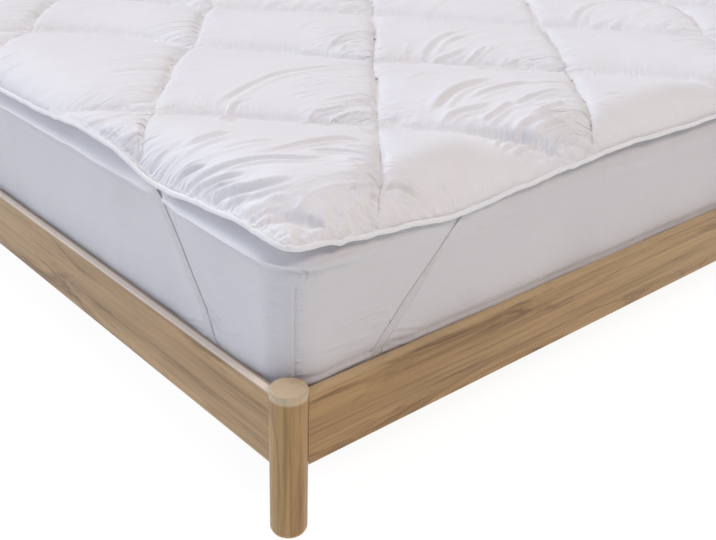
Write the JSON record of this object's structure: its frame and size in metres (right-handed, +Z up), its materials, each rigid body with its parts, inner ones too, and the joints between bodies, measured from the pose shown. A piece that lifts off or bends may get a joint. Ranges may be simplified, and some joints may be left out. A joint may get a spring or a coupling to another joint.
{
  "type": "quilted mattress topper on a mattress and wooden bed",
  "caption": "Filled quilted topper with piped edge and elastic corner straps, held on a mattress in a low wooden bed frame with round posts.",
  "frame": {"origin": "on the floor under the middle of the bed", "axes": "+X along the bed's length, +Y across its width, +Z up"},
  "size_m": [2.066, 1.866, 0.562],
  "materials": {
    "quilted_cloth": "matte",
    "piping_cloth": "matte",
    "elastic": "matte",
    "mattress_cloth": "matte",
    "oak": "satin"
  },
  "bodies": {
    "root": {"quilted_pad": "quilted_cloth", "piping": "piping_cloth", "strap_near_left": "elastic", "strap_near_right": "elastic", "strap_far_left": "elastic", "strap_far_right": "elastic", "mattress": "mattress_cloth", "side_rail_near": "oak", "side_rail_far": "oak", "end_rail_near": "oak", "end_rail_far": "oak", "post_near_left": "oak", "post_near_right": "oak", "post_far_left": "oak", "post_far_right": "oak", "ledger_near": "oak", "ledger_far": "oak", "centre_beam": "oak", "centre_leg": "oak", "slat_01": "oak", "slat_02": "oak", "slat_03": "oak", "slat_04": "oak", "slat_05": "oak", "slat_06": "oak", "slat_07": "oak", "slat_08": "oak", "slat_09": "oak", "slat_10": "oak", "slat_11": "oak"}
  },
  "joints": []
}
